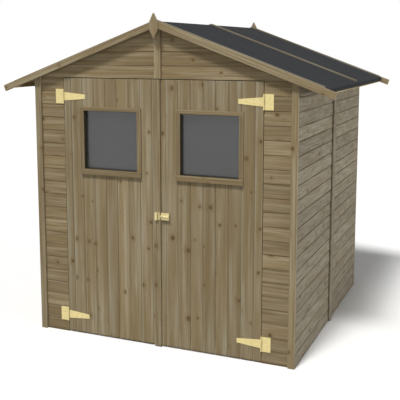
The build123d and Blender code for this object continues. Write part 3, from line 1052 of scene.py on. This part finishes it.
def makeHead(kind):
    # A low domed head; a screw's has a cross recess.
    shape, radius, rise = headShape, fixings[kind]["radius"], fixings[kind]["rise"]
    cross = kind.endswith("Screw")
    count = shape["crossSides"] if cross else shape["sides"]
    rings = [([radius] * count, 0.0), ([radius * shape["crown"]] * count, rise)]
    if cross:
        recess = radius * shape["cross"]
        rings.append(([recess * (shape["arm"] if i % 3 else 1.0) for i in range(count)], rise))
    turns = [math.tau * i / count for i in range(count)]
    work = bmesh.new()
    made = [
        [work.verts.new((w * math.cos(a), w * math.sin(a), z)) for w, a in zip(widths, turns)]
        for widths, z in rings]
    for lower, upper in zip(made, made[1:]):
        bridge(work, lower, upper, closed=True)
    middle = work.verts.new((0, 0, rise * (shape["sunk"] if cross else shape["dome"])))
    for i in range(count):
        work.faces.new((made[-1][i], made[-1][(i + 1) % count], middle))
    work.faces.new(list(reversed(made[0])))
    bmesh.ops.recalc_face_normals(work, faces=work.faces)
    return linked(kind + "Head", meshFrom(work, kind))


heads = {kind: makeHead(kind) for kind in fixings}


def placeFixings(name, spots, kind, body, seed):
    finish = fixings[kind]["finish"]
    base = bpy.data.meshes.new(name + "Spots")
    base.from_pydata([place for place, facing in spots], [], [])
    directions = base.attributes.new("facing", "FLOAT_VECTOR", "POINT")
    for mark, (place, facing) in zip(directions.data, spots):
        mark.vector = facing
    values = dict(head=heads[kind], scale=fixings[kind]["scale"], seed=seed, finish=finishes[finish])
    addPiece(name, grown(fixingTree, values, base), finish, body)


def nailLine(start, end, count, facing):
    start, end = Vector(start), Vector(end)
    return [(start.lerp(end, (i + 0.5) / count), facing) for i in range(count)]


stripNailing = dict(
    inset=0.022, foot=0.03, head=1.74, beside=0.012, stagger=0.02, count=7, gableFoot=1.78, gableHead=2.04,
    gableCount=3, rearCount=8)


def stripNails():
    # Down the corner strips, the strips over the side walls' joints, and the middle strips.
    look = stripNailing
    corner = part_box("corner_strips")[1]
    strip, foot, head = corner.x - look["inset"], look["foot"], look["head"]
    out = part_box("side_wall_strips")[1].x
    spots = []
    for sign in (-1, 1):
        for y, facing in ((-corner.y, (0, -1, 0)), (corner.y, (0, 1, 0))):
            spots += nailLine((sign * strip, y, foot), (sign * strip, y, head), look["count"], facing)
        for y, rise in ((look["beside"], 0.0), (-look["beside"], look["stagger"])):
            start, end = (sign * out, y, foot + rise), (sign * out, y, head - rise)
            spots += nailLine(start, end, look["count"], (sign, 0, 0))
    front, rear = look["gableFoot"], foot
    for y, low, count in ((-corner.y, front, look["gableCount"]), (corner.y, rear, look["rearCount"])):
        spots += nailLine((0, y, low), (0, y, look["gableHead"]), count, (0, math.copysign(1, y), 0))
    return spots


boardNailing = dict(rows=19, up=0.02, lean=0.1, sink=0.0027, inner=0.02, outer=0.055)
studLines = dict(side=(-0.83, -0.44, -0.05, 0.05, 0.44, 0.83), rear=(-0.85, -0.45, -0.04, 0.04, 0.45, 0.85))


def boardNails():
    # Into the studs through the foot of each lapped board, tipped a little with the board's face.
    look = boardNailing
    frontY, sideX, lean = panelLow.y + look["sink"], wallX - look["sink"], look["lean"]
    spots = []
    for row in range(1, look["rows"] + 1):
        z = row * lapBoards["pitch"] + look["up"]
        for sign in (-1, 1):
            for x in (panelLow.x + look["inner"], wallX - look["outer"]):
                spots.append(((sign * x, frontY, z), (0, -1, lean)))
            spots += [((sign * sideX, y, z), (sign, 0, lean)) for y in studLines["side"]]
        spots += [((x, -frontY, z), (0, 1, lean)) for x in studLines["rear"]]
    return spots


roofNailing = dict(count=6, first=0.1, step=0.19, bargeDrop=0.024, battenInset=0.014, battenTop=0.009)


def roofNails():
    # Along the barge boards and the battens that hold the felt down.
    look = roofNailing
    bargeLow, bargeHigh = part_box("barge_boards")
    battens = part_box("felt_battens")[1].y - look["battenInset"]
    spots = []
    for sign in (-1, 1):
        out = Vector((sign * math.sin(slope), 0, math.cos(slope)))
        for i in range(look["count"]):
            x = look["first"] + i * look["step"]
            z = bargeHigh.z - x * fall - look["bargeDrop"]
            spots += [((sign * x, bargeLow.y, z), (0, -1, 0)), ((sign * x, bargeHigh.y, z), (0, 1, 0))]
            for y in (-battens, 0.0, battens):
                spots.append((Vector((sign * x, y, feltHigh.z - x * fall)) + out * look["battenTop"], out))
    return spots


feltNailing = dict(count=24, inset=0.04, up=0.012)


def feltNails():
    look, low, high = feltNailing, feltLow, feltHigh
    step = (high.y - low.y - look["inset"] * 2) / (look["count"] - 1)
    places = [low.y + look["inset"] + i * step for i in range(look["count"])]
    return [((sign * high.x, y, low.z + look["up"]), (sign, 0, 0)) for sign in (-1, 1) for y in places]


doorNailing = dict(
    ledges=(0.105, 0.145, 0.86, 0.9, 1.61, 1.65), last=0.66, rim=0.014, sink=0.006, headDrop=0.013,
    sillUp=0.018, low=0.13, high=0.12, stripFoot=0.04, stripHead=1.72, stripCount=9)
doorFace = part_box("left_door_leaf")[0].y


def doorNails(side, sign):
    # Through the boards into the ledges, and round the window frame.
    look = doorNailing
    places = [doorBoards["groove"] + doorBoards["pitch"] * (i + 0.5) for i in range(doorBoards["count"] - 1)]
    spots = [(sign * x, doorFace, z) for z in look["ledges"] for x in places if x < look["last"]]
    low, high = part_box(side + "_window_frame")
    edges = (low.x + look["rim"], high.x - look["rim"])
    jamb = low.y + look["sink"]
    for x in (edges[0], (low.x + high.x) / 2, edges[1]):
        spots += [(x, jamb, high.z - look["headDrop"]), (x, low.y, low.z + look["sillUp"])]
    spots += [(x, jamb, z) for z in (low.z + look["low"], high.z - look["high"]) for x in edges]
    spots = [(spot, (0, -1, 0)) for spot in spots]
    if side == "left":
        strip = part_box("meeting_strip")
        x = (strip[0].x + strip[1].x) / 2
        start, end = (x, strip[0].y, look["stripFoot"]), (x, strip[0].y, look["stripHead"])
        spots += nailLine(start, end, look["stripCount"], (0, -1, 0))
    return spots


hingeScrews = dict(
    heights=(0.125, 1.63), proud=0.003, plateEdge=0.02, stagger=0.01,
    plateRises=(-0.036, -0.012, 0.012, 0.036),
    strap=((0.012, 0.0), (0.055, 0.0), (0.098, 0.01), (0.098, -0.01), (0.14, 0.016), (0.14, -0.016)))


def strapScrews(side, sign):
    low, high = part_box(side + "_door_straps")
    tip = min(abs(low.x), abs(high.x))
    y = doorFace - hingeScrews["proud"]
    return [
        ((sign * (tip + along), y, z + rise), (0, -1, 0))
        for z in hingeScrews["heights"] for along, rise in hingeScrews["strap"]]


def plateScrews():
    look = hingeScrews
    y = doorFace - look["proud"]
    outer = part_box("hinge_plates")[1].x - look["plateEdge"]
    spots = []
    for sign in (-1, 1):
        for z in look["heights"]:
            for rise in look["plateRises"]:
                x = outer - (look["stagger"] if rise == look["plateRises"][2] else 0.0)
                spots.append(((sign * x, y, z + rise), (0, -1, 0)))
    return spots


boltScrews = dict(proud=0.0025, rise=0.016, plateInset=0.008, keepInset=0.007)
boltLow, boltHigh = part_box("bolt_plate")
plateEdges = (boltLow.x + boltScrews["plateInset"], boltHigh.x - boltScrews["plateInset"])
keepEdge = (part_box("bolt_keep")[1].x - boltScrews["keepInset"],)


def boltSpots(edges):
    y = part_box("meeting_strip")[0].y - boltScrews["proud"]
    middle = (boltLow.z + boltHigh.z) / 2
    levels = [middle + rise for rise in (-boltScrews["rise"], boltScrews["rise"])]
    return [((x, y, z), (0, -1, 0)) for x in edges for z in levels]


placeFixings("wallNails", stripNails() + boardNails(), "nail", "shed", seed=3)
placeFixings("roofNails", roofNails(), "nail", "shed", seed=5)
placeFixings("feltClouts", feltNails(), "clout", "shed", seed=6)
for side, sign in (("left", -1), ("right", 1)):
    body = side + "_door"
    placeFixings(side + "DoorNails", doorNails(side, sign), "nail", body, seed=8)
    placeFixings(side + "StrapScrews", strapScrews(side, sign), "hingeScrew", body, seed=9)
placeFixings("plateScrews", plateScrews(), "hingeScrew", "shed", seed=10)
placeFixings("boltScrews", boltSpots(plateEdges), "boltScrew", "right_door", seed=12)
placeFixings("keepScrews", boltSpots(keepEdge), "boltScrew", "left_door", seed=13)
for head in heads.values():
    bpy.data.objects.remove(head)
print("nails and screws set")

studio = dict(sky=0.18, floor=1.0, bounce=0.36, width=40, drop=0.0005)
keyLamp = dict(power=0.98, soft=10, color=(1.0, 0.995, 0.98))
lamps = {
    "keyLeft": dict(keyLamp, turn=(31.5, 0, -14)),
    "keyMiddle": dict(keyLamp, turn=(31.5, 0, -8)),
    "keyRight": dict(keyLamp, turn=(31.5, 0, -1)),
    "frontFill": dict(power=0.72, turn=(86, 0, 8), soft=30, color=(1.0, 0.99, 0.97)),
    "rightFill": dict(power=2.25, turn=(88, 0, 85), soft=24, color=(0.965, 0.985, 1.0)),
    "backFill": dict(power=1.0, turn=(88, 0, 215), soft=24, color=(1.0, 1.0, 1.0)),
}


def seenOr(tree, seen, lit):
    # One level where the camera, a reflection or a pane shows it, another for the light it gives.
    path = put(tree, "ShaderNodeLightPath").outputs
    camera, gloss, pane = (Wire(path[f"Is {kind} Ray"]) for kind in ("Camera", "Glossy", "Transmission"))
    return ramp(calc("MAXIMUM", calc("MAXIMUM", camera, gloss), pane), 0.0, 1.0, lit, seen, smooth=False)


def makeSky():
    world = bpy.data.worlds.new("studio")
    bpy.context.scene.world = world
    world.use_nodes = True
    tree = world.node_tree
    tree.nodes.clear()
    sky = take("ShaderNodeBackground", {0: (1, 1, 1, 1), 1: seenOr(tree, 1.0, studio["sky"])})
    put(tree, "ShaderNodeOutputWorld", {0: sky})


def makeLamps():
    for name, look in lamps.items():
        lamp = bpy.data.lights.new(name, "SUN")
        lamp.energy = look["power"]
        lamp.angle = math.radians(look["soft"])
        lamp.color = look["color"]
        light = linked(name, lamp)
        light.rotation_euler = [math.radians(value) for value in look["turn"]]
        light.visible_glossy = not name.endswith("Fill")  # no broad lamp shows in a pane
        light.visible_transmission = light.visible_glossy


def makeFloor():
    reach, level = studio["width"], -studio["drop"]
    mesh = bpy.data.meshes.new("studioFloor")
    around = ((-1, -1), (1, -1), (1, 1), (-1, 1))
    mesh.from_pydata([(reach * x, reach * y, level) for x, y in around], [], [(0, 1, 2, 3)])
    material, place = newFinish("paleFloor")
    pale = seenOr(treeOf(place), studio["floor"], studio["bounce"])
    mesh.materials.append(dressed(material, {
        "Base Color": joinVector(pale, pale, pale), "Roughness": 0.9, "Specular IOR Level": 0.0}))
    linked("studioFloor", mesh)


makeSky()
makeLamps()
makeFloor()
print("studio lit")

view = dict(place=(2.0681, -5.1584, 1.9544), turn=22.725, tilt=7.966, lens=67.551, shift=-0.12)
lens = bpy.data.cameras.new("camera")
lens.lens = view["lens"]
lens.shift_y = view["shift"]
camera = linked("camera", lens)
camera.location = view["place"]
camera.rotation_euler = (math.radians(90 - view["tilt"]), 0, math.radians(view["turn"]))
bpy.context.scene.camera = camera
bpy.context.scene.view_settings.view_transform = "Standard"
